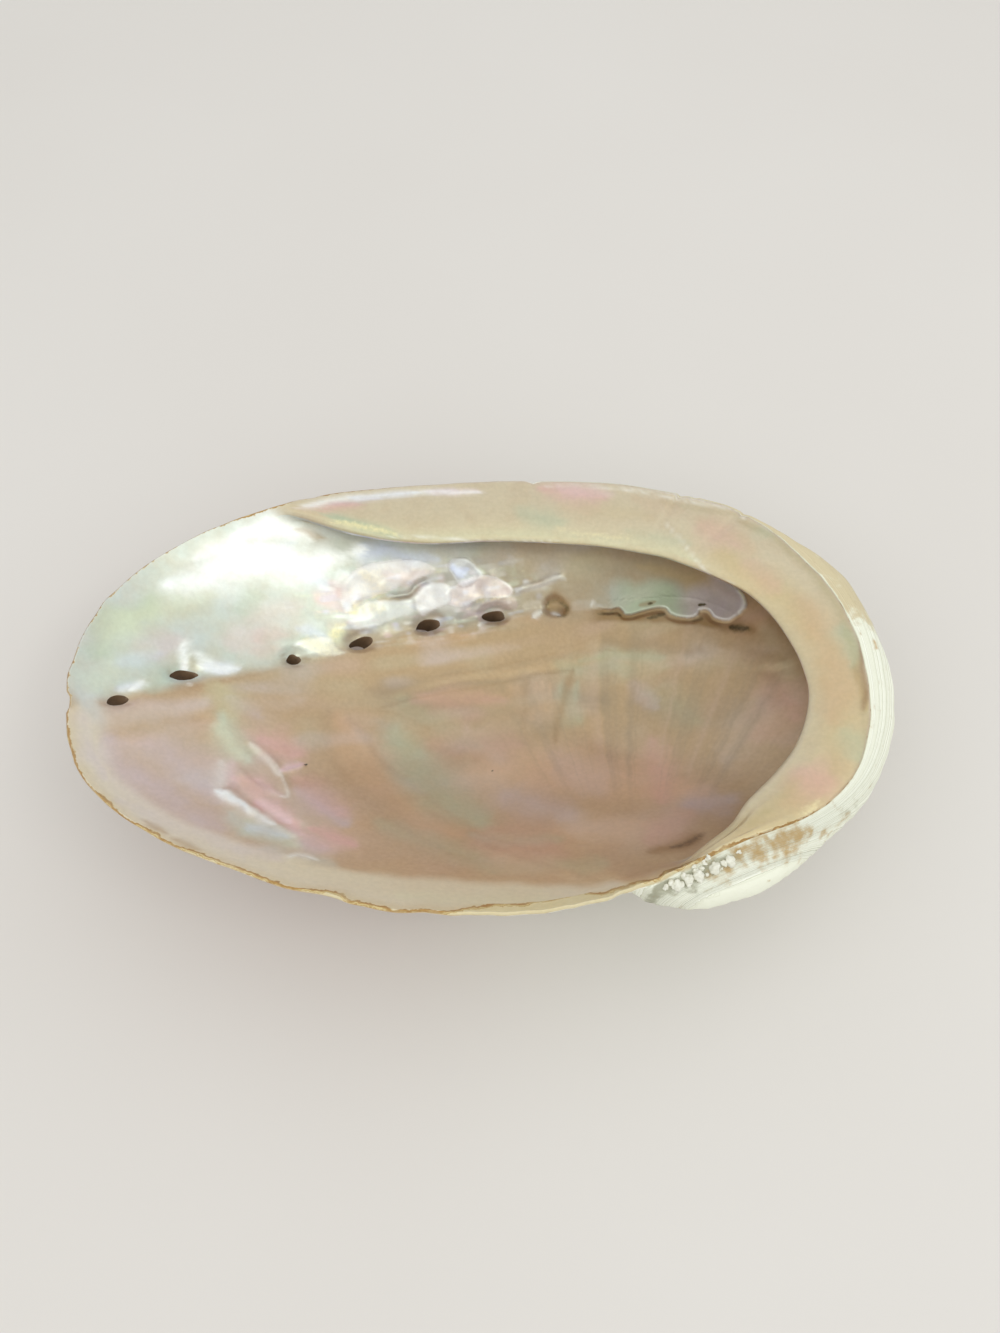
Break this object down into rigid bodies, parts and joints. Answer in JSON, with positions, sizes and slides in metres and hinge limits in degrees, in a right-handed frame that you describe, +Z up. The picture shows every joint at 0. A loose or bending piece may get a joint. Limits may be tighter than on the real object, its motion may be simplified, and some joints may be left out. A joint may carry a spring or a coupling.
{
  "type": "abalone shell",
  "caption": "Empty abalone shell lying on its back, with a pearly bowl, a flat ledge inside the lip, a row of open holes along the keel and a chalky coiled spire.",
  "frame": {"origin": "under the middle of the shell's outline, on the surface that it rests on", "axes": "+X along the length towards the spire, +Y towards the ledge and the row of holes, +Z up out of the bowl"},
  "size_m": [0.1632, 0.1028, 0.0448],
  "materials": {
    "nacre": "pearly gloss inside, chalky outside"
  },
  "bodies": {
    "root": {"shell": "nacre"}
  },
  "joints": []
}
